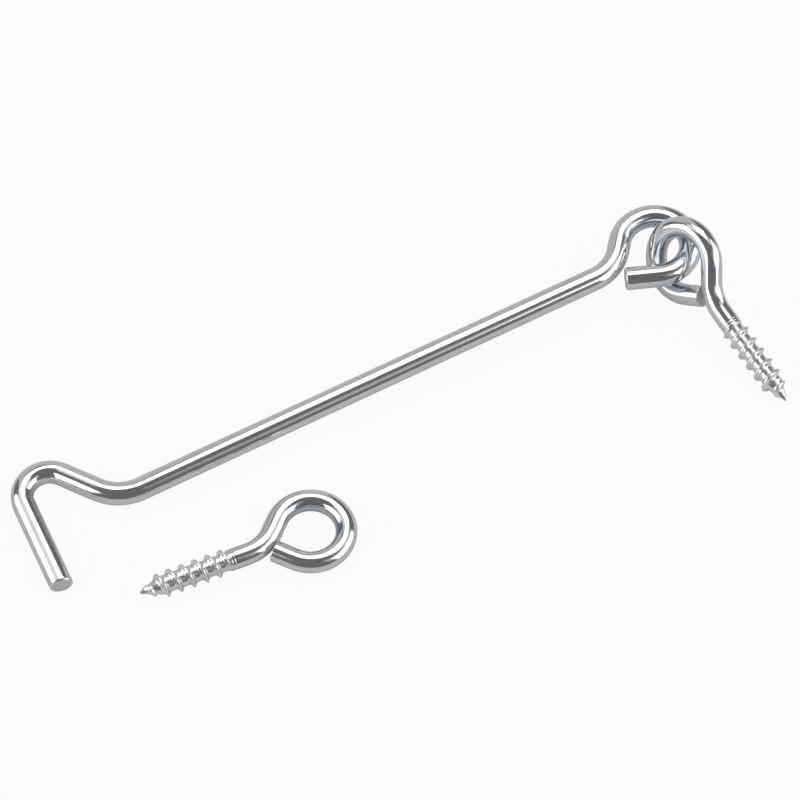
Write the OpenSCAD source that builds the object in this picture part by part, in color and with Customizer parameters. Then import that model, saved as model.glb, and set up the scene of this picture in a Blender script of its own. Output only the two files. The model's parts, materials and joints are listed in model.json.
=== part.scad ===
// Hook and eye latch: a wire hook that swings on its screw eye, and the second screw eye that it drops into.
// The pieces lie on a flat surface at z = 0 with the hook's rod along +X. Sizes are in millimetres.

/* [Hook] */
// Diameter of the hook's wire
hook_wire_d = 4.75; // [4:0.05:5.5]
// Straight length of the tip that drops into the catch eye
tip_len = 20.6; // [14:0.1:26]
// Bevel around the cut end of the tip
tip_bevel = 0.5; // [0.2:0.1:1]
// Radius of the hook's bend, to the middle of the wire
hook_bend_r = 5.3; // [4:0.1:8]
// Angle of the hook's bend
hook_bend_angle = 141; // [120:1:155]
// Straight length between the hook's bend and the offset bend
throat_len = 8.3; // [5:0.1:14]
// Radius of the offset bend, to the middle of the wire
offset_bend_r = 9.6; // [6:0.1:14]
// Angle of the offset bend
offset_bend_angle = 54; // [40:0.5:65]
// Straight length of the rod
rod_len = 103.8; // [60:0.1:180]

/* [Hook eye] */
// Inside diameter of the hook's eye
hook_eye_id = 9.9; // [8.5:0.1:12]
// Radius of the bend from the rod into the eye, to the middle of the wire
hook_neck_r = 9.3; // [7:0.1:11]
// Angle of the bend from the rod into the eye
hook_neck_angle = 51.5; // [45:0.5:60]
// Straight length between that bend and the eye
hook_lead_len = 2.8; // [1:0.1:4]
// Angle between the rod and the cut end of the eye
hook_tail_angle = 22; // [18:1:36]

/* [Screw eyes] */
// Diameter of the screw eyes' wire
eye_wire_d = 4.4; // [3.8:0.05:5]
// Inside diameter of the screw eyes
eye_id = 9.9; // [8.5:0.1:12]
// Radius of the bend from the shank into the eye, to the middle of the wire
eye_neck_r = 8.5; // [7:0.1:10]
// Angle of the bend from the shank into the eye
eye_neck_angle = 46; // [42:1:52]
// Angle between the shank and the cut end of the eye
eye_tail_angle = 48; // [36:1:54]
// Plain straight shank between the bend and the thread
plain_len = 4; // [3:0.1:12]

/* [Screw thread] */
// Length of the thread, point included
thread_len = 18.8; // [14:0.1:30]
// Diameter over the crests
thread_crest_d = 5.35; // [4.6:0.05:6]
// Diameter at the root
thread_root_d = 3.7; // [3:0.05:3.9]
// Advance in one turn
thread_pitch = 2.75; // [2.2:0.05:3]
// Width of a ridge at the root
ridge_base_w = 1.6; // [1:0.05:1.9]
// Width of a ridge at the crest
ridge_crest_w = 0.35; // [0.2:0.05:0.6]
// Length of the gimlet point
point_len = 4.2; // [3:0.1:6]
// Turn of the pivot eye's thread about its shank
pivot_thread_turn = 325; // [0:5:360]
// Turn of the catch eye's thread about its shank
catch_thread_turn = 230; // [0:5:360]

/* [Fits] */
// Clearance between the linked wires where the hook lies on the pivot eye
link_gap = 0.4; // [0.3:0.05:1]
// Gap between the cut end of an eye and the neck that it closes on
end_gap = 0.2; // [0.15:0.05:1]

/* [Layout] */
// Angle between the rod and the pivot eye's shank, seen from above
pivot_heading = 83.5; // [70:0.5:95]
// Tilt of the pivot eye's ring from the surface that it lies on
pivot_tilt = 59; // [54:1:75]
// Angle between the pivot eye's shank and the line that joins the two linked rings
link_skew = 18.2; // [14:0.1:26]
// Distance of the catch eye's ring from the hook's end, along the rod
catch_along = 49.3; // [40:0.1:120]
// Distance of the catch eye's ring from the rod
catch_aside = 24; // [20:0.1:60]
// Turn of the catch eye away from the rod's direction
catch_turn = -4.25; // [-15:0.25:15]

/* [Hidden] */
$fn = 72;
zinc = "#c8ccd0";
zinc_thread = "#bdbfbc";

// How much a bend draws the wire's radius down, and how far it runs into the straights beside it
bend_draw = 0.02;
bend_lap = 0.3;
// Sampled points on each straight or bend and degrees between those on a ring, for the rest positions
path_points = 36;
ring_step = 3;
// Rounds in which the pivot eye's pitch settles
settle_rounds = 20;
// Facets in one turn of the thread
turn_facets = 20;
// Radius of the blunt end of the gimlet point, and how far its middle stands proud
point_tip_r = 0.3;
point_tip_h = 0.25;
// Share of a turn in which a ridge rises from the shank
ridge_rise_turns = 0.5;
// How far the threaded core's closed end is kept inside the plain shank, beyond one turn
core_sunk = 0.2;

hook_r = hook_wire_d / 2;
eye_r = eye_wire_d / 2;
hook_ring_r = (hook_eye_id + hook_wire_d) / 2;
eye_ring_r = (eye_id + eye_wire_d) / 2;

// The lead between neck and ring that puts a screw eye's ring on the axis of its shank
eye_lead_len = (eye_ring_r * cos(eye_neck_angle) - eye_neck_r * (1 - cos(eye_neck_angle)))
    / sin(eye_neck_angle);

// A wire is a list of moves: [length] runs straight on, [angle, radius] bends, to the left where positive.
// A pose is [x, y, heading].
function bend_middle(pose, move) =
    [pose.x, pose.y] + sign(move[0]) * move[1] * [-sin(pose.z), cos(pose.z)];

function point_on(pose, move, t) =
    len(move) == 1
        ? [pose.x, pose.y] + t * move[0] * [cos(pose.z), sin(pose.z)]
        : bend_middle(pose, move)
            + sign(move[0]) * move[1] * [sin(pose.z + t * move[0]), -cos(pose.z + t * move[0])];

function pose_after(pose, move) =
    concat(point_on(pose, move, 1), [pose.z + (len(move) == 1 ? 0 : move[0])]);

function pose_at(pose, moves, n, i = 0) =
    i == n ? pose : pose_at(pose_after(pose, moves[i]), moves, n, i + 1);

function points_along(pose, moves, i = 0) =
    i == len(moves) ? [] : concat(
        [for (k = [0 : path_points]) point_on(pose, moves[i], k / path_points)],
        points_along(pose_after(pose, moves[i]), moves, i + 1));

// The eye at the end of a wire, from the start of its neck: neck, lead, ring and cut end.
// The cut end stops short of the neck's outer side by end_gap.
function ring_sweep(neck_angle, tail_angle) = 180 + neck_angle + tail_angle;

function tail_len(wire_r, ring_r, neck_r, neck_angle, lead, tail_angle) =
    let (
        neck_end = ring_r * [-sin(neck_angle), cos(neck_angle)]
            - lead * [cos(neck_angle), sin(neck_angle)],
        neck_middle = neck_end + neck_r * [-sin(neck_angle), cos(neck_angle)],
        run = [-cos(tail_angle), sin(tail_angle)],
        corner = ring_r * [-sin(tail_angle), -cos(tail_angle)] + wire_r * [run.y, -run.x] - neck_middle,
        closing = corner * run,
        spare = corner * corner - pow(neck_r + wire_r + end_gap, 2)
    )
    -closing - sqrt(closing * closing - spare);

function eye_moves(wire_r, ring_r, neck_r, neck_angle, lead, tail_angle) = [
    [neck_angle, neck_r],
    [lead],
    [-ring_sweep(neck_angle, tail_angle), ring_r],
    [tail_len(wire_r, ring_r, neck_r, neck_angle, lead, tail_angle)]
];

// Place of the ring among an eye's moves
eye_ring_move = 2;

function ring_middle(pose, ring_r) = [pose.x, pose.y] + ring_r * [sin(pose.z), -cos(pose.z)];

// The hook's wire, from its tip to the cut end of its eye
hook_moves = concat(
    [
        [tip_len],
        [-hook_bend_angle, hook_bend_r],
        [throat_len],
        [offset_bend_angle, offset_bend_r],
        [rod_len]
    ],
    eye_moves(hook_r, hook_ring_r, hook_neck_r, hook_neck_angle, hook_lead_len, hook_tail_angle));
hook_neck_move = 5;
hook_ring_move = hook_neck_move + eye_ring_move;

// The hook lies in a plane with the middle of its eye at the origin and its rod along +X
hook_free_start = [0, 0, hook_bend_angle - offset_bend_angle];
hook_ring_place = ring_middle(pose_at(hook_free_start, hook_moves, hook_ring_move), hook_ring_r);
hook_start = concat(-hook_ring_place, [hook_free_start.z]);
hook_points = points_along(hook_start, hook_moves);
hook_end_x = min([for (p = hook_points) p.x]);
rod_y = pose_at(hook_start, hook_moves, hook_neck_move).y;

// A screw eye lies in a plane with the middle of its ring at the origin and its shank along -X
eye_loop_moves = eye_moves(eye_r, eye_ring_r, eye_neck_r, eye_neck_angle, eye_lead_len, eye_tail_angle);
eye_stem = ring_middle(pose_at([0, 0, 0], eye_loop_moves, eye_ring_move), eye_ring_r).x;
thread_start = eye_stem + plain_len;
eye_reach = thread_start + thread_len;
last_crest = eye_reach - point_len;

// The pivot eye rests on its ring and on its last full crest, so its pitch follows from their heights
function pivot_ring_rise(pitch) =
    eye_ring_r * sqrt(pow(sin(pitch), 2) + pow(cos(pitch) * sin(pivot_tilt), 2));

function settled_pitch(pitch, rounds) =
    rounds == 0 ? pitch : settled_pitch(
        asin((eye_r + pivot_ring_rise(pitch) - thread_crest_d / 2 * cos(pitch)) / last_crest), rounds - 1);

pivot_pitch = settled_pitch(0, settle_rounds);
shank_side = [sin(pivot_heading), cos(pivot_heading), 0];
shank_out = [
    cos(pivot_heading) * cos(pivot_pitch),
    -sin(pivot_heading) * cos(pivot_pitch),
    -sin(pivot_pitch)
];
ring_across = cos(pivot_tilt) * shank_side + sin(pivot_tilt) * cross(shank_out, shank_side);

// Each linked ring passes through the middle of the other
link_reach = (hook_ring_r + eye_ring_r) / 2;
pivot_middle = [
    link_reach * cos(pivot_heading - link_skew),
    -link_reach * sin(pivot_heading - link_skew),
    eye_r + pivot_ring_rise(pivot_pitch)
];
pivot_ring = [
    for (a = [0 : ring_step : 360 - ring_step])
    pivot_middle + eye_ring_r * (cos(a) * shank_out + sin(a) * ring_across)
];

// The hook's eye lies on the low side of the pivot ring: its slope is the least that keeps link_gap there
wire_apart = hook_r + eye_r + link_gap;
hook_low_run = [for (p = hook_points) if (p.x > -hook_ring_r - hook_r && p.y < -hook_ring_r / 2) p];
pivot_low_run = [for (p = pivot_ring) if (p.z < pivot_middle.z) p];
hook_slope = max([
    for (p = hook_low_run)
    for (q = pivot_low_run)
    let (aside = norm([p.x - q.x, p.y - q.y]))
    if (aside < wire_apart)
    (q.z + sqrt(wire_apart * wire_apart - aside * aside) - hook_r) / (p.x - hook_end_x)
]);
hook_pitch = asin(hook_slope);
hook_middle_z = hook_r - hook_end_x * hook_slope;

// The catch eye rests on the far side of its ring and on its first crests
catch_pitch = atan((thread_crest_d - eye_wire_d) / 2 / (eye_ring_r + thread_start));
catch_middle = [
    hook_end_x + catch_along,
    rod_y - catch_aside,
    eye_r + eye_ring_r * sin(catch_pitch)
];

// The box around the pieces, seen from above, puts the origin under its middle
pivot_tip = pivot_middle + eye_reach * shank_out;
catch_tip = catch_middle - eye_reach * [cos(catch_turn), sin(catch_turn), 0];
function spread(list, r) = [for (p = list) for (s = [-r, r]) [p.x + s, p.y + s]];
seen = concat(
    spread(hook_points, hook_r),
    spread(pivot_ring, eye_r),
    spread([catch_middle], eye_ring_r + eye_r),
    spread([pivot_tip, catch_tip], 0));
seen_x = [for (p = seen) p.x];
seen_y = [for (p = seen) p.y];
layout_shift = -[max(seen_x) + min(seen_x), max(seen_y) + min(seen_y), 0] / 2;

// A straight stretch of wire along +X, with a bevel around its first end
module straight(wire_r, length, bevel = 0) {
    rotate([0, 90, 0])
        rotate_extrude()
            polygon([[0, 0], [wire_r - bevel, 0], [wire_r, bevel], [wire_r, length], [0, length]]);
}

// A bend that starts along +X, a little thinner than the straights and running into them at both ends
module bend(wire_r, angle, radius) {
    lap_angle = bend_lap / radius * 180 / PI;
    mirror([0, angle < 0 ? 1 : 0, 0])
        translate([0, radius, 0])
            rotate([0, 0, -90 - lap_angle])
                rotate_extrude(angle = abs(angle) + 2 * lap_angle)
                    translate([radius, 0])
                        circle(r = wire_r - bend_draw);
}

// A round wire bent in the XY plane along its moves, starting along +X
module bent_wire(wire_r, moves, bevel = 0, i = 0) {
    if (i < len(moves)) {
        move = moves[i];
        if (len(move) == 1) {
            straight(wire_r, move[0], i == 0 ? bevel : 0);
            translate([move[0], 0, 0])
                bent_wire(wire_r, moves, bevel, i + 1);
        } else {
            middle = sign(move[0]) * move[1];
            bend(wire_r, move[0], move[1]);
            translate([0, middle, 0])
                rotate([0, 0, move[0]])
                    translate([0, -middle, 0])
                        bent_wire(wire_r, moves, bevel, i + 1);
        }
    }
}

// Rows of points that run up the thread's helix: the root, the foot of a ridge and the two edges of its crest
row_offsets = [
    0,
    thread_pitch - ridge_base_w,
    thread_pitch - ridge_base_w / 2 - ridge_crest_w / 2,
    thread_pitch - ridge_base_w / 2 + ridge_crest_w / 2
];
row_heights = [0, 0, 1, 1];
rows = len(row_offsets);
sections = floor((thread_len + core_sunk) / thread_pitch * turn_facets);

function thread_radius(z, height) =
    let (
        point = min(1, z / point_len),
        rise = max(0, min(1, (thread_len - z) / (ridge_rise_turns * thread_pitch))),
        core = point_tip_r + (thread_root_d / 2 - point_tip_r) * point
    )
    core + height * (thread_crest_d - thread_root_d) / 2 * min(point, rise);

function thread_point(section, row) =
    let (
        angle = 360 * section / turn_facets,
        z = thread_pitch * section / turn_facets + row_offsets[row],
        r = thread_radius(z, row_heights[row])
    )
    [r * cos(angle), r * sin(angle), z];

// Place of a point in the list: the row past the last one is the first row, one turn on
function point_index(section, row) =
    row == rows
        ? point_index(section + turn_facets, 0)
        : section <= sections ? rows * section + row : rows * (sections + 1) + section - sections - 1;

// The threaded core and its gimlet point, along +Z from the tip, with a right-hand thread
module threaded_core() {
    skin = concat(
        [for (s = [0 : sections]) for (row = [0 : rows - 1]) thread_point(s, row)],
        [for (s = [sections + 1 : sections + turn_facets]) thread_point(s, 0)]);
    tip = len(skin);
    top = tip + 1;
    sides = [
        for (s = [0 : sections - 1])
        for (row = [0 : rows - 1])
        let (
            a = point_index(s, row),
            b = point_index(s + 1, row),
            c = point_index(s + 1, row + 1),
            d = point_index(s, row + 1)
        )
        each [[a, c, b], [a, d, c]]
    ];
    tip_fan = concat(
        [for (s = [0 : turn_facets - 1]) [tip, point_index(s, 0), point_index(s + 1, 0)]],
        [for (row = [0 : rows - 1]) [tip, point_index(0, row + 1), point_index(0, row)]]);
    top_fan = concat(
        [for (s = [sections : sections + turn_facets - 1]) [top, point_index(s + 1, 0), point_index(s, 0)]],
        [for (row = [0 : rows - 1]) [top, point_index(sections, row), point_index(sections, row + 1)]]);
    polyhedron(
        points = concat(
            skin,
            [[0, 0, -point_tip_h], [0, 0, thread_pitch * (sections / turn_facets + 1)]]),
        faces = concat(sides, tip_fan, top_fan));
}

// One screw eye in its own plane, the middle of its ring at the origin and its point towards -X
module screw_eye(thread_turn) {
    color(zinc)
        translate([-thread_start, 0, 0])
            bent_wire(eye_r, concat([[plain_len]], eye_loop_moves));
    color(zinc_thread)
        translate([-eye_reach, 0, 0])
            rotate([0, 90, 0])
                rotate([0, 0, thread_turn])
                    threaded_core();
}

module hook() {
    color(zinc)
        translate(layout_shift + [0, 0, hook_middle_z])
            rotate([0, -hook_pitch, 0])
                translate([hook_start.x, hook_start.y, 0])
                    rotate([0, 0, hook_start.z])
                        bent_wire(hook_r, hook_moves, tip_bevel);
}

module pivot_screw_eye() {
    translate(layout_shift + pivot_middle)
        rotate([0, 0, 180 - pivot_heading])
            rotate([0, -pivot_pitch, 0])
                rotate([180 - pivot_tilt, 0, 0])
                    screw_eye(pivot_thread_turn);
}

module catch_screw_eye() {
    translate(layout_shift + catch_middle)
        rotate([0, 0, catch_turn])
            rotate([0, catch_pitch, 0])
                screw_eye(catch_thread_turn);
}

hook();
pivot_screw_eye();
catch_screw_eye();
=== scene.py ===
import json
import math

import bpy
import numpy as np
from mathutils import Matrix, Vector


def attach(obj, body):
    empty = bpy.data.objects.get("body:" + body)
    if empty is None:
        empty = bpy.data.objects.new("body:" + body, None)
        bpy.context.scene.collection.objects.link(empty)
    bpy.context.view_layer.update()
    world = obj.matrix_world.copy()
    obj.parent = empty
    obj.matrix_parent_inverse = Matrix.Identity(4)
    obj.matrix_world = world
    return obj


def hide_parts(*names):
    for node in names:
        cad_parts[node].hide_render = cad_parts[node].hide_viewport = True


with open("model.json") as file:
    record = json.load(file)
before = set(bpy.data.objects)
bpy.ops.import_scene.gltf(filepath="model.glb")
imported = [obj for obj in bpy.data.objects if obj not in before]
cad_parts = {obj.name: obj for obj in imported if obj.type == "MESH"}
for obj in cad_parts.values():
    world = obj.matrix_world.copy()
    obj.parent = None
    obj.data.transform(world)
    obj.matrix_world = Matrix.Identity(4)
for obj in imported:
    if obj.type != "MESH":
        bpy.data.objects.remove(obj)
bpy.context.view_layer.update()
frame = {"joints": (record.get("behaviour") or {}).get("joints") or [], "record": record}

# A wire hook and its two screw eyes, in bright zinc plate, lying on a pale studio floor.
# Lengths are in metres and angles in degrees.
MM = 0.001

# Hook wire. A straight is a length.
# A bend is an angle, positive to the left, and the radius of the wire's middle.
HOOK_WIRE_R = 2.375 * MM
TIP_LEN = 20.6 * MM
TIP_BEVEL = 0.5 * MM
TIP_SLANT = 0.6 * MM
HOOK_BEND = (-141.0, 5.3 * MM)
THROAT_LEN = 8.3 * MM
OFFSET_BEND = (54.0, 9.6 * MM)
ROD_LEN = 103.8 * MM
HOOK_NECK = (51.5, 9.3 * MM)
HOOK_LEAD = 2.8 * MM
HOOK_RING_R = 7.325 * MM
HOOK_TAIL_ANGLE = 22.0

# Screw eye wire
EYE_WIRE_R = 2.2 * MM
EYE_NECK = (46.0, 8.5 * MM)
EYE_RING_R = 7.15 * MM
EYE_TAIL_ANGLE = 48.0
PLAIN_LEN = 4.0 * MM
PIVOT_TILT = 59.0

# Wood screw thread, with a right-hand ridge. Its turn is counted from the underside of the eye.
THREAD_LEN = 18.8 * MM
THREAD_CREST_R = 2.675 * MM
THREAD_ROOT_R = 1.85 * MM
THREAD_PITCH = 2.75 * MM
RIDGE_BASE_W = 1.6 * MM
RIDGE_CREST_W = 0.3 * MM
RIDGE_RISE = 0.6 * MM
FLANK_HOLLOW = 0.6
SHOULDER_LEN = 0.3 * MM
UNDERSIDE = -90.0
PIVOT_THREAD_TURN = 325.0
CATCH_THREAD_TURN = 230.0

# Gimlet point, with a blunt end
POINT_LEN = 4.2 * MM
POINT_END_R = 0.3 * MM
POINT_END_H = 0.24 * MM
POINT_RIDGE = 0.5

# Marks of the thread rolls on the shank, by their distance from the thread
ROLL_MARKS = (0.45 * MM, 1.05 * MM)
ROLL_MARK_W = 0.14 * MM
ROLL_MARK_DEPTH = 0.05 * MM
ROLL_MARK_REACH = 3.0

# Cut ends: the gap to the neck, the edges, and how far and to which side the faces lean back
END_GAP = 0.2 * MM
CUT_EDGE_R = 0.14 * MM
HOOK_TAIL_EDGE_R = 0.5 * MM
EDGE_SHEARED = 0.3
CUT_RELIEF = 0.05 * MM
TIP_RELIEF_TURN = 0.0
HOOK_TAIL_RELIEF_TURN = 120.0
EYE_TAIL_RELIEF_TURN = 200.0

# How the wire is formed: bends start gently and are a little flattened, and the painted shade on the
# inside of a ring fades out beyond the ring
EASE = 0.7 * MM
EASE_SAMPLES = 7
FLATTEN = 0.16
INSIDE_SHADE_FADE = 2.0 * MM

# How finely the meshes are made. A hair off the wire keeps it within the facets of the solids.
HAIR = 0.005 * MM
AROUND = 72
THETA = np.linspace(0.0, 2.0 * math.pi, AROUND, endpoint=False)
STRAIGHT_STEP = 0.8 * MM
BEND_STEP = 3.0
THREAD_STEP = 0.07 * MM
TIP_STEP = 0.1 * MM
TAIL_STEP = 0.05 * MM
SHORTEST_RUN = 1e-6 * MM
EDGE_TURNS = (0.0, 22.0, 45.0, 68.0, 90.0)
FACE_SHARES = (0.97, 0.8, 0.6, 0.4, 0.2, 0.02)
POINT_SHARES = (0.04, 0.35, 0.7)

# Places of the two finishes in a piece's list of materials
PLATE = 0
FROSTED = 1


def add_object(name, data):
    """A new object in the scene."""
    made = bpy.data.objects.new(name, data)
    bpy.context.scene.collection.objects.link(made)
    return made


class Wire:
    """The middle line of a bent wire in its own plane."""

    def __init__(self, start, heading, moves):
        self.runs = []
        place, length = np.array(start, float), 0.0
        for move in moves:
            run = (length, move, place, heading)
            self.runs.append(run)
            length += self.run_length(move)
            place, heading, _ = self.on_run(run, length)
        self.length = length

    @staticmethod
    def run_length(move):
        if isinstance(move, tuple):
            return math.radians(abs(move[0])) * move[1]
        return move

    @staticmethod
    def on_run(run, s):
        """Place, heading and curvature at length s, which may lie beyond the run."""
        begins, move, place, heading = run
        ahead = s - begins
        if not isinstance(move, tuple):
            way = math.radians(heading)
            return place + ahead * np.array([math.cos(way), math.sin(way)]), heading, 0.0
        side = math.copysign(1.0, move[0])
        turned = heading + side * math.degrees(ahead / move[1])
        a, b = math.radians(heading), math.radians(turned)
        middle = place + side * move[1] * np.array([-math.sin(a), math.cos(a)])
        return middle + side * move[1] * np.array([math.sin(b), -math.cos(b)]), turned, side / move[1]

    def at(self, s):
        """Place, heading and curvature at length s."""
        run = max((r for r in self.runs if r[0] <= s), key=lambda r: r[0], default=self.runs[0])
        return self.on_run(run, s)

    def eased(self, s):
        """Place, direction and curvature, with the joins of straights and bends eased."""
        near = [self.at(s + u) for u in np.linspace(-EASE, EASE, EASE_SAMPLES)]
        place = np.mean([n[0] for n in near], axis=0)
        way = math.radians(np.mean([n[1] for n in near]))
        return place, np.array([math.cos(way), math.sin(way)]), np.mean([n[2] for n in near])

    def stations(self, first, last):
        """Lengths along the wire that follow its bends closely."""
        found = [first]
        for begins, move, _, _ in self.runs:
            ends = begins + self.run_length(move)
            low, high = max(begins, first), min(ends, last)
            if high - low < SHORTEST_RUN:
                continue
            step = math.radians(BEND_STEP) * move[1] if isinstance(move, tuple) else STRAIGHT_STEP
            count = max(1, math.ceil((high - low) / step))
            found.extend(low + (high - low) * (k + 1) / count for k in range(count))
        return found


def eye_moves(wire_r, ring_r, neck, lead, tail_angle):
    """Neck, lead, ring and cut end of an eye. The cut end stops short of the neck."""
    neck_angle, neck_r = neck
    a, t = math.radians(neck_angle), math.radians(tail_angle)
    outward = np.array([-math.sin(a), math.cos(a)])
    neck_end = ring_r * outward - lead * np.array([math.cos(a), math.sin(a)])
    neck_middle = neck_end + neck_r * outward
    run = np.array([-math.cos(t), math.sin(t)])
    ring_end = ring_r * np.array([-math.sin(t), -math.cos(t)])
    corner = ring_end + wire_r * np.array([run[1], -run[0]]) - neck_middle
    closing = corner @ run
    spare = corner @ corner - (neck_r + wire_r + END_GAP) ** 2
    tail = -closing - math.sqrt(closing * closing - spare)
    return [neck, lead, (-(180.0 + neck_angle + tail_angle), ring_r), tail]


def centred_on_ring(heading, moves, ring_r):
    """The wire with the middle of its ring at 0, 0, and the lengths where the ring begins and ends."""
    free = Wire((0.0, 0.0), heading, moves)
    begins, move, place, way = free.runs[-2]
    way = math.radians(way)
    middle = place + ring_r * np.array([math.sin(way), -math.cos(way)])
    return Wire(-middle, heading, moves), begins, begins + Wire.run_length(move)


def hook_wire():
    """The hook with its rod along +X."""
    eye = eye_moves(HOOK_WIRE_R, HOOK_RING_R, HOOK_NECK, HOOK_LEAD, HOOK_TAIL_ANGLE)
    moves = [TIP_LEN, HOOK_BEND, THROAT_LEN, OFFSET_BEND, ROD_LEN, *eye]
    heading = -HOOK_BEND[0] - OFFSET_BEND[0]
    return centred_on_ring(heading, moves, HOOK_RING_R)


def eye_wire():
    """A screw eye with its point towards -X. Its shank is in line with the middle of its ring."""
    angle, neck_r = math.radians(EYE_NECK[0]), EYE_NECK[1]
    lead = (EYE_RING_R * math.cos(angle) - neck_r * (1 - math.cos(angle))) / math.sin(angle)
    eye = eye_moves(EYE_WIRE_R, EYE_RING_R, EYE_NECK, lead, EYE_TAIL_ANGLE)
    return centred_on_ring(0.0, [THREAD_LEN + PLAIN_LEN, *eye], EYE_RING_R)


class Skin:
    """Rings of points around a wire, gathered from one end to the other.
    Each point keeps its place on the straightened wire and what its finish needs, which includes painted
    shade on the inside of a ring."""

    def __init__(self, wire, wire_r):
        self.wire = wire
        self.wire_r = wire_r - HAIR
        self.points = []
        self.place = []
        self.cut = []
        self.ridge = []
        self.painted_shade_inside = []
        self.kinds = []

    def ring(self, s, radius, shift=0.0, cut=0.0, ridge=1.0, painted_shade_inside=0.0, kind=PLATE):
        """One ring: its radius and its shift along the wire may differ around it."""
        values = (radius, shift, cut, ridge, painted_shade_inside)
        radius, shift, cut, ridge, painted_shade_inside = (np.broadcast_to(value, (AROUND,)) for value in values)
        middle, way, _ = self.wire.eased(s)
        left = np.array([-way[1], way[0]])
        across, up = radius * np.cos(THETA), radius * np.sin(THETA)
        flat = middle + np.outer(across, left) + np.outer(shift, way)
        self.points.append(np.column_stack([flat, up]))
        self.place.append(np.column_stack([s + shift, across, up]))
        self.cut.append(cut)
        self.ridge.append(ridge)
        self.painted_shade_inside.append(painted_shade_inside)
        self.kinds.append(kind)

    def body_radius(self, s):
        """The drawn wire's radius, a little flattened in the plane of a bend."""
        _, _, curve = self.wire.eased(s)
        return self.wire_r * (1.0 - FLATTEN * (self.wire_r * curve) ** 2 * np.cos(THETA) ** 2)

    def inside_painted_shade_share(self, s, ring_from, ring_to):
        """How much each point around the wire faces the middle of the eye. That much painted shade goes
        on the inside of the ring, and it fades out beyond the ring.
        """
        past = max(ring_from - s, s - ring_to)
        fade = min(1.0, max(0.0, 1.0 - past / INSIDE_SHADE_FADE))
        _, _, curve = self.wire.eased(s)
        return fade * np.clip(np.cos(THETA) * np.sign(curve), 0.0, 1.0)

    def drawn_wire(self, first, last, ring_from, ring_to):
        """The smooth wire between two lengths."""
        for s in self.wire.stations(first, last):
            self.ring(s, self.body_radius(s), painted_shade_inside=self.inside_painted_shade_share(s, ring_from, ring_to))

    def cut_face(self, s, way, edge, relief_turn, slant=0.0):
        """A sheared end: rings from the rim to the middle, or from the middle at the start of the wire.
        The face leans back, by the relief and the slant, on the side of the turn."""
        rim = self.wire_r - edge
        across = np.cos(THETA - math.radians(relief_turn))
        rings = []
        for turn in np.radians(EDGE_TURNS):
            rings.append((rim + edge * math.cos(turn), edge * (1.0 - math.sin(turn)), EDGE_SHEARED))
        rings.extend((rim * share, 0.0, 1.0) for share in FACE_SHARES)
        if way < 0:
            rings.reverse()
        for radius, drop, cut in rings:
            lean = 0.5 + 0.5 * across * radius / self.wire_r
            worn = CUT_RELIEF * lean if cut == 1.0 else 0.0
            self.ring(s, radius, -way * (drop + worn + slant * lean), cut=cut)

    def faces(self):
        """Faces between the rings and around the middle of each end, and the finish of each face."""
        rings = len(self.points)
        sides = [(i, (i + 1) % AROUND) for i in range(AROUND)]
        faces, kinds = [], []
        for k in range(rings - 1):
            low, high = k * AROUND, (k + 1) * AROUND
            faces.extend((low + i, low + j, high + j, high + i) for i, j in sides)
            kinds.extend([self.kinds[k]] * AROUND)
        first_middle, last_middle = rings * AROUND, rings * AROUND + 1
        last_ring = (rings - 1) * AROUND
        faces.extend((first_middle, j, i) for i, j in sides)
        faces.extend((last_middle, last_ring + i, last_ring + j) for i, j in sides)
        kinds.extend([self.kinds[0]] * AROUND + [self.kinds[-1]] * AROUND)
        return faces, kinds

    def mesh(self, name, place, materials):
        """Joins the rings into one closed mesh, with a point in the middle of each end."""
        middles = [self.points[0].mean(axis=0), self.points[-1].mean(axis=0)]
        points = np.vstack([*self.points, middles])
        faces, kinds = self.faces()
        made = bpy.data.meshes.new(name)
        made.from_pydata(points.tolist(), [], faces)
        made.transform(place)
        self.store(made, "straight_place", "FLOAT_VECTOR", "vector", self.place)
        self.store(made, "cut_end", "FLOAT", "value", self.cut)
        self.store(made, "ridge_height", "FLOAT", "value", self.ridge)
        self.store(made, "ring_inside_painted_shade", "FLOAT", "value", self.painted_shade_inside)
        for material in materials:
            made.materials.append(material)
        made.polygons.foreach_set("material_index", kinds)
        made.shade_smooth()
        made.update()
        return add_object(name, made)

    @staticmethod
    def store(made, name, kind, field, rings):
        """Keeps a value for each point. The two middle points take those of their own rings."""
        values = np.concatenate([*rings, rings[0][:1], rings[-1][:1]])
        kept = made.attributes.new(name, kind, "POINT")
        kept.data.foreach_set(field, values.astype(np.float32).ravel())


def hook_piece(materials):
    """The hook: bevelled tip, formed wire and closed eye."""
    wire, ring_from, ring_to = hook_wire()
    skin = Skin(wire, HOOK_WIRE_R)
    skin.cut_face(0.0, -1, TIP_BEVEL, TIP_RELIEF_TURN, TIP_SLANT)
    first = TIP_BEVEL + TIP_SLANT + TIP_STEP
    last = wire.length - HOOK_TAIL_EDGE_R - TAIL_STEP
    skin.drawn_wire(first, last, ring_from, ring_to)
    skin.cut_face(wire.length, 1, HOOK_TAIL_EDGE_R, HOOK_TAIL_RELIEF_TURN)
    return skin.mesh("hook_wire", hook_place(), materials)


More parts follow.
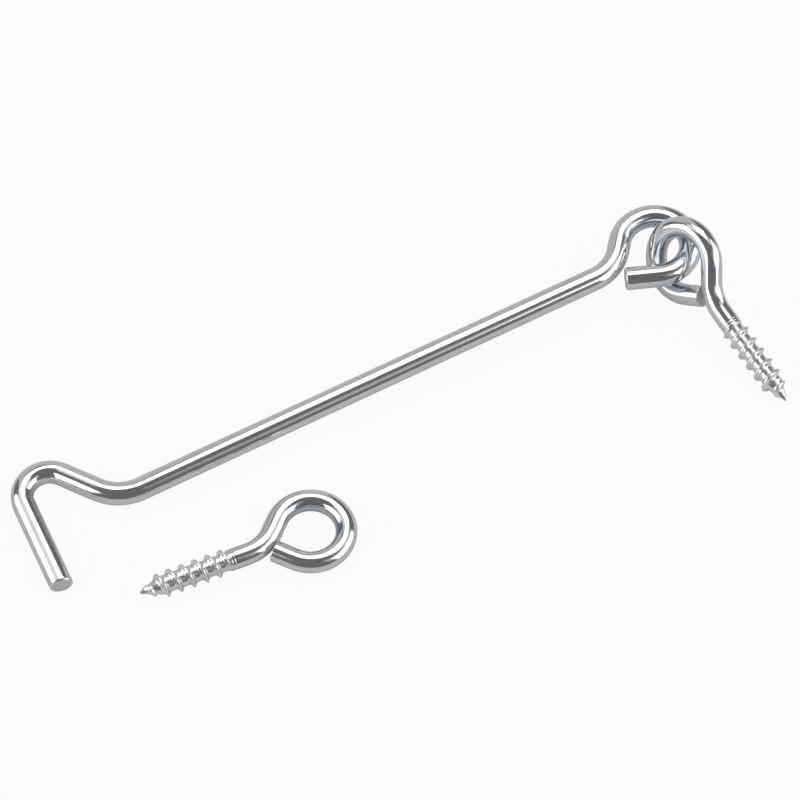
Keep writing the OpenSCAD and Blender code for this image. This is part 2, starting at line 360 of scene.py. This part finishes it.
def thread_radius(s, turn):
    """Radius around the threaded end at length s from its point, and how high the ridge stands there."""
    half_base, half_crest = RIDGE_BASE_W / 2, RIDGE_CREST_W / 2
    around = THETA - math.radians(UNDERSIDE + turn)
    turns = (s + half_base) / THREAD_PITCH - around / (2.0 * math.pi)
    off = np.abs((turns + 0.5) % 1.0 - 0.5) * THREAD_PITCH
    flank = np.clip((half_base - off) / (half_base - half_crest), 0.0, 1.0)
    point = min(1.0, max(0.0, s / POINT_LEN))
    rise = min(1.0, max(0.0, (THREAD_LEN - s) / RIDGE_RISE))
    ridge = ((1.0 - FLANK_HOLLOW) * flank + FLANK_HOLLOW * flank * flank) * min(point, rise)
    core = POINT_END_R + (THREAD_ROOT_R - POINT_END_R) * point
    crest = core + ridge * (THREAD_CREST_R - THREAD_ROOT_R)
    shoulder = min(1.0, max(0.0, (s - THREAD_LEN + SHOULDER_LEN) / SHOULDER_LEN))
    shank = core + (EYE_WIRE_R - core) * shoulder
    return np.maximum(crest, shank) - HAIR, ridge


def roll_mark(s):
    """Depth of the marks that the thread rolls leave around the shank."""
    past = s - THREAD_LEN
    return sum(ROLL_MARK_DEPTH * math.exp(-((past - at) / ROLL_MARK_W) ** 2) for at in ROLL_MARKS)


def eye_piece(name, place, thread_turn, materials):
    """A screw eye: gimlet point, thread, plain shank and closed eye."""
    wire, ring_from, ring_to = eye_wire()
    skin = Skin(wire, EYE_WIRE_R)
    for share in POINT_SHARES:
        ahead = POINT_END_H * (1.0 - share * share)
        skin.ring(0.0, POINT_END_R * share, -ahead, ridge=POINT_RIDGE, kind=FROSTED)
    thread_end = THREAD_LEN + ROLL_MARKS[-1] + ROLL_MARK_REACH * ROLL_MARK_W
    for s in np.arange(0.0, thread_end, THREAD_STEP):
        radius, ridge = thread_radius(s, thread_turn)
        if s > THREAD_LEN:
            skin.ring(s, radius - roll_mark(s))
        else:
            skin.ring(s, radius - roll_mark(s), ridge=ridge, kind=FROSTED)
    skin.drawn_wire(thread_end + THREAD_STEP, wire.length - CUT_EDGE_R - TAIL_STEP, ring_from, ring_to)
    skin.cut_face(wire.length, 1, CUT_EDGE_R, EYE_TAIL_RELIEF_TURN)
    return skin.mesh(name, place, materials)


# Places of the pieces, from the frame
MOUNTS = {m["name"]: (Vector(m["pos_m"]), Vector(m["axis"])) for m in frame["record"]["mounts"]}
EYE_MIDDLE = Vector(next(j for j in frame["joints"] if j["name"] == "hook_swing")["pos_m"])
UP = Vector((0.0, 0.0, 1.0))


def placed(middle, x_way, y_way):
    """Turns a piece's own X and Y to these ways, and puts its 0, 0 at the middle."""
    x_way, y_way = x_way.normalized(), y_way.normalized()
    turn = Matrix((x_way, y_way, x_way.cross(y_way))).transposed()
    return Matrix.Translation(middle) @ turn.to_4x4()


def hook_place():
    """The hook rests on its hooked end, and its eye is held up by the pivot eye's ring."""
    wire, _, _ = hook_wire()
    reach = -min(float(wire.at(s)[0][0]) for s in wire.stations(0.0, wire.length))
    slope = math.asin((EYE_MIDDLE.z - HOOK_WIRE_R) / reach)
    return placed(EYE_MIDDLE, Vector((math.cos(slope), 0.0, math.sin(slope))), Vector((0.0, 1.0, 0.0)))


def thread_start():
    """Distance from the middle of a screw eye's ring to where its thread starts."""
    wire, _, _ = eye_wire()
    return -float(wire.at(THREAD_LEN)[0][0])


def pivot_place():
    """The pivot eye leans through the hook's eye, with its thread in the mount."""
    start, out = MOUNTS["pivot_screw_thread"]
    side = UP.cross(out).normalized()
    tilt = math.radians(PIVOT_TILT)
    across = math.cos(tilt) * side + math.sin(tilt) * out.cross(side)
    return placed(start - thread_start() * out, -out, across)


def catch_place():
    """The catch eye lies beside the hook."""
    middle, up = MOUNTS["catch_ring"]
    _, out = MOUNTS["catch_screw_thread"]
    return placed(middle, -out, up.cross(-out))


class Value:
    """A shader socket that takes part in sums."""

    def __init__(self, tree, socket):
        self.tree = tree
        self.socket = socket

    def combine(self, operation, a, b):
        return self.tree.node("Math", {"operation": operation}, {0: a, 1: b})

    def __add__(self, other):
        return self.combine("ADD", self, other)

    def __sub__(self, other):
        return self.combine("SUBTRACT", self, other)

    def __rsub__(self, other):
        return self.combine("SUBTRACT", other, self)

    def __mul__(self, other):
        return self.combine("MULTIPLY", self, other)

    __radd__ = __add__
    __rmul__ = __mul__


class Tree:
    """The nodes of a material or of the world."""

    def __init__(self, owner):
        owner.use_nodes = True
        self.nodes = owner.node_tree.nodes
        self.links = owner.node_tree.links
        self.nodes.clear()

    def node(self, kind, settings=None, sockets=None, out=0):
        """A new node with its settings, and a value or a link for each socket that is named."""
        made = self.nodes.new("ShaderNode" + kind)
        for name, value in (settings or {}).items():
            setattr(made, name, value)
        for name, value in (sockets or {}).items():
            if isinstance(value, Value):
                self.links.new(value.socket, made.inputs[name])
            else:
                made.inputs[name].default_value = value
        return Value(self, made.outputs[out]) if made.outputs else made

    def noise(self, place, scale, detail=3.0, roughness=0.5):
        """Cloudy values about 0.5, with a scale for each way on the straightened wire."""
        stretched = self.node("VectorMath", {"operation": "MULTIPLY"}, {0: place, 1: scale})
        sockets = {"Vector": stretched, "Scale": 1.0, "Detail": detail, "Roughness": roughness}
        return self.node("TexNoise", {}, sockets)

    def ramp(self, value, low, high, most=1.0):
        """From 0 where the value is low to the most where it is high."""
        settings = {"interpolation_type": "SMOOTHSTEP"}
        return self.node("MapRange", settings, {0: value, 1: low, 2: high, 3: 0.0, 4: most})

    def mix(self, share, a, b):
        return self.node("Mix", {"data_type": "RGBA"}, {0: share, 6: a, 7: b}, out=2)

    def attribute(self, name, out):
        return self.node("Attribute", {"attribute_name": name}, {}, out=out)

    def surface(self, shader):
        self.node("OutputMaterial", {}, {"Surface": shader})


# Outputs of an Attribute node
VECTOR_OUT = 1
NUMBER_OUT = 2

# Colours of the metal
BRIGHT_ZINC = (0.80, 0.805, 0.81, 1.0)
# The blue-grey is the clouded film, and also painted shade on the inside of each ring
BLUE_FILM_AND_PAINTED_SHADE = (0.56, 0.62, 0.68, 1.0)
CUT_STEEL = (0.76, 0.76, 0.755, 1.0)
THREAD_ZINC = (0.93, 0.928, 0.91, 1.0)
# The thread's roots are painted this darker grey as shade in the hollows
THREAD_ROOT_PAINTED_SHADE = (0.86, 0.857, 0.84, 1.0)

# Scales of the patterns per metre: along the wire, then both ways across it
LINES_SCALE = (90.0, 2600.0, 2600.0)
CLOUDS_SCALE = (160.0, 320.0, 320.0)
GRAIN_SCALE = (1500.0, 2300.0, 2300.0)
SHEAR_SCALE = (900.0, 700.0, 5200.0)
FROST_SCALE = (3000.0, 3000.0, 3000.0)
FROST_CLOUDS_SCALE = (420.0, 420.0, 420.0)
GRAIN_ROUGHNESS = 0.6

# Film on the plate, and painted shade in the same blue-grey: where the clouds start to show the film,
# and how much more blue-grey is painted inside a ring as shade
FILM_AND_SHADE_FROM = 0.5
FILM_AND_SHADE_FULL = 0.85
FILM_AND_SHADE_MOST = 0.75
# Painted shade: extra blue-grey on the faces inside a ring
INSIDE_PAINTED_SHADE = 0.3

# Gloss of the plate and of a cut end, and the shares of the patterns in it and in the bump
WIRE_ROUGHNESS = 0.115
LINES_ROUGHEN = 0.05
LINES_MIDDLE = 0.5
CLOUDS_ROUGHEN = 0.09
CLOUDS_MIDDLE = 0.4
CUT_ROUGHEN = 0.35
CUT_LESS_METALLIC = 0.55
LINES_HEIGHT = 0.45
GRAIN_HEIGHT = 0.55
SHEAR_HEIGHT = 0.8
WIRE_BUMP = 0.009 * MM

# Gloss of the thread, and how far up its ridge the gloss of the crests and their lighter colour are
# full; lower down, the roots are painted darker as shade
THREAD_ROUGHNESS = 0.25
FROST_CLOUDS_ROUGHEN = 0.12
FROST_CLOUDS_MIDDLE = 0.5
CREST_GLOSS_AND_ROOT_SHADE_FULL = 0.45
CREST_GLOSS_AND_ROOT_SHADE_CLOUDED = 0.5
BURNISH_SMOOTHS = 0.04
THREAD_BUMP = 0.006 * MM


def metal(tree, colour, metallic, roughness, bump_height, bump_depth):
    bump = tree.node("Bump", {}, {"Strength": 1.0, "Distance": bump_depth, "Height": bump_height})
    sockets = {"Base Color": colour, "Metallic": metallic, "Roughness": roughness, "Normal": bump}
    tree.surface(tree.node("BsdfPrincipled", {}, sockets))


def wire_zinc():
    """Bright plate over drawn wire: faint lines along it, clouded film, grain and a dull sheared end.
    The inside of each ring gets painted shade in the film's blue-grey.
    """
    material = bpy.data.materials.new("bright_zinc_wire")
    tree = Tree(material)
    place = tree.attribute("straight_place", VECTOR_OUT)
    cut = tree.attribute("cut_end", NUMBER_OUT)
    painted_shade_inside = tree.attribute("ring_inside_painted_shade", NUMBER_OUT)
    lines = tree.noise(place, LINES_SCALE, detail=2.0)
    clouds = tree.noise(place, CLOUDS_SCALE, detail=4.0)
    grain = tree.noise(place, GRAIN_SCALE, roughness=GRAIN_ROUGHNESS)
    shear = tree.noise(place, SHEAR_SCALE)
    # Real clouded film, plus painted shade on the inside of each ring, both in the blue-grey colour
    film_and_painted_shade = tree.ramp(clouds + INSIDE_PAINTED_SHADE * painted_shade_inside, FILM_AND_SHADE_FROM, FILM_AND_SHADE_FULL, FILM_AND_SHADE_MOST)
    colour = tree.mix(film_and_painted_shade, BRIGHT_ZINC, BLUE_FILM_AND_PAINTED_SHADE)
    colour = tree.mix(cut, colour, CUT_STEEL)
    roughness = WIRE_ROUGHNESS + LINES_ROUGHEN * (lines - LINES_MIDDLE)
    roughness = roughness + CLOUDS_ROUGHEN * (clouds - CLOUDS_MIDDLE) + CUT_ROUGHEN * cut
    height = LINES_HEIGHT * lines + GRAIN_HEIGHT * grain + SHEAR_HEIGHT * (cut * shear)
    metal(tree, colour, 1.0 - CUT_LESS_METALLIC * cut, roughness, height, WIRE_BUMP)
    return material


def thread_zinc():
    """Rolled thread: frosted plate, glossier on the crests, with painted shade in the roots, which are
    coloured darker grey.
    """
    material = bpy.data.materials.new("frosted_zinc_thread")
    tree = Tree(material)
    place = tree.attribute("straight_place", VECTOR_OUT)
    ridge = tree.attribute("ridge_height", NUMBER_OUT)
    grain = tree.noise(place, FROST_SCALE, roughness=GRAIN_ROUGHNESS)
    clouds = tree.noise(place, FROST_CLOUDS_SCALE) - FROST_CLOUDS_MIDDLE
    # Painted shade: the thread's roots are coloured darker than the crests, and the crests are also
    # glossier
    crest_gloss_and_root_shade = tree.ramp(ridge + CREST_GLOSS_AND_ROOT_SHADE_CLOUDED * clouds, 0.0, CREST_GLOSS_AND_ROOT_SHADE_FULL)
    colour = tree.mix(crest_gloss_and_root_shade, THREAD_ROOT_PAINTED_SHADE, THREAD_ZINC)
    roughness = THREAD_ROUGHNESS - BURNISH_SMOOTHS * crest_gloss_and_root_shade + FROST_CLOUDS_ROUGHEN * clouds
    metal(tree, colour, 1.0, roughness, grain, THREAD_BUMP)
    return material


# The camera, at the photograph's angle. It looks at a point on the floor, given from the hook's eye.
CAMERA_TURN = -27.5
CAMERA_RISE = 58.5
CAMERA_DISTANCE = 0.8
CAMERA_LENS = 176.56
SENSOR_W = 36.0
AIM_FROM_EYE = Vector((-61.98, -4.892, 0.0)) * MM


def aim_point():
    return Vector((EYE_MIDDLE.x, EYE_MIDDLE.y, 0.0)) + AIM_FROM_EYE


def studio_way(right, front, up):
    """A way to the right of the camera, towards it along the floor, and up."""
    turn = math.radians(CAMERA_TURN)
    right_way = Vector((math.cos(turn), math.sin(turn), 0.0))
    front_way = Vector((math.sin(turn), -math.cos(turn), 0.0))
    return (right * right_way + front * front_way + up * UP).normalized()


def face_aim_point(thing, way, distance):
    """Puts a camera or a light on this way from the aim point, facing it."""
    thing.location = aim_point() + distance * way
    thing.rotation_mode = "QUATERNION"
    thing.rotation_quaternion = (-way).to_track_quat("-Z", "Y")


def add_camera():
    data = bpy.data.cameras.new("camera")
    data.lens = CAMERA_LENS
    data.sensor_width = SENSOR_W
    camera = add_object("camera", data)
    rise = math.radians(CAMERA_RISE)
    face_aim_point(camera, studio_way(0.0, math.cos(rise), math.sin(rise)), CAMERA_DISTANCE)
    bpy.context.scene.camera = camera


# Each softbox: its way to the right, front and up, its distance, width and height, and its brightness
SOFTBOXES = (
    ("top_box", (0.06, -0.40, 0.91), 0.70, 0.46, 0.46, 1.8),
    ("left_box", (-0.88, 0.2, 0.42), 0.75, 0.85, 0.60, 1.5),
    ("right_box", (0.90, 0.12, 0.42), 0.75, 0.85, 0.60, 1.5),
    ("left_wing", (-0.45, -0.30, 0.84), 0.72, 0.36, 0.30, 0.7),
    ("right_wing", (0.46, -0.20, 0.86), 0.72, 0.30, 0.30, 0.55),
    ("right_fill", (0.57, 0.48, 0.67), 0.72, 0.34, 0.34, 0.26),
    ("back_card", (-0.29, -0.88, 0.36), 0.77, 0.84, 0.60, 0.36),
)


def softbox(name, way, distance, width, height, brightness):
    """A rectangular light that faces the object. A brightness of 1 shows as white in a mirror."""
    data = bpy.data.lights.new(name, "AREA")
    data.shape = "RECTANGLE"
    data.size = width
    data.size_y = height
    data.energy = brightness * math.pi * width * height
    box = add_object(name, data)
    face_aim_point(box, way, distance)
    box.visible_camera = False


def add_lights():
    """A large box on each side, one above, dim ones between them and a pale card behind.
    The front is dark."""
    for name, way, distance, width, height, brightness in SOFTBOXES:
        softbox(name, studio_way(*way), distance, width, height, brightness)


ROOM_GREY = (0.155, 0.156, 0.159, 1.0)


def add_room():
    """A dim room."""
    world = bpy.data.worlds.new("room")
    bpy.context.scene.world = world
    tree = Tree(world)
    background = tree.node("Background", {}, {"Color": ROOM_GREY, "Strength": 1.0})
    tree.node("OutputWorld", {}, {"Surface": background})


# The floor's colour, and the share of white in it for the camera and for what mirrors it
FLOOR_HALF = 6.0
FLOOR_PALE = (0.62, 0.62, 0.62, 1.0)
FLOOR_WHITE = (1.0, 1.0, 1.0, 1.0)
FLOOR_WHITE_SEEN = 0.95
FLOOR_WHITE_MIRRORED = 0.18


def add_floor():
    """A pale floor that the camera sees as white, with a faint shadow. The wire mirrors it as grey."""
    made = bpy.data.meshes.new("floor")
    corners = [(x * FLOOR_HALF, y * FLOOR_HALF, 0.0) for x, y in ((-1, -1), (1, -1), (1, 1), (-1, 1))]
    made.from_pydata(corners, [], [(0, 1, 2, 3)])
    material = bpy.data.materials.new("pale_floor")
    tree = Tree(material)
    seen = tree.node("LightPath", {}, {}, out="Is Camera Ray")
    mirrored = tree.node("LightPath", {}, {}, out="Is Glossy Ray")
    share = FLOOR_WHITE_SEEN * seen + FLOOR_WHITE_MIRRORED * mirrored
    plain = tree.node("BsdfDiffuse", {}, {"Color": FLOOR_PALE})
    white = tree.node("Emission", {}, {"Color": FLOOR_WHITE, "Strength": 1.0})
    tree.surface(tree.node("MixShader", {}, {0: share, 1: plain, 2: white}))
    made.materials.append(material)
    floor = add_object("floor", made)


def add_pieces():
    """The hook and both screw eyes, each in place of its solid."""
    wire, thread = wire_zinc(), thread_zinc()
    hook = hook_piece([wire])
    pivot = eye_piece("pivot_eye_wire", pivot_place(), PIVOT_THREAD_TURN, [wire, thread])
    catch = eye_piece("catch_eye_wire", catch_place(), CATCH_THREAD_TURN, [wire, thread])
    for piece, body, node in (
        (hook, "hook", "hook"),
        (pivot, "pivot_eye", "pivot_screw_eye"),
        (catch, "catch_eye", "catch_screw_eye"),
    ):
        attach(piece, body)
        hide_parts(node)


add_camera()
add_pieces()
add_floor()
add_lights()
add_room()
bpy.context.scene.view_settings.view_transform = "Standard"
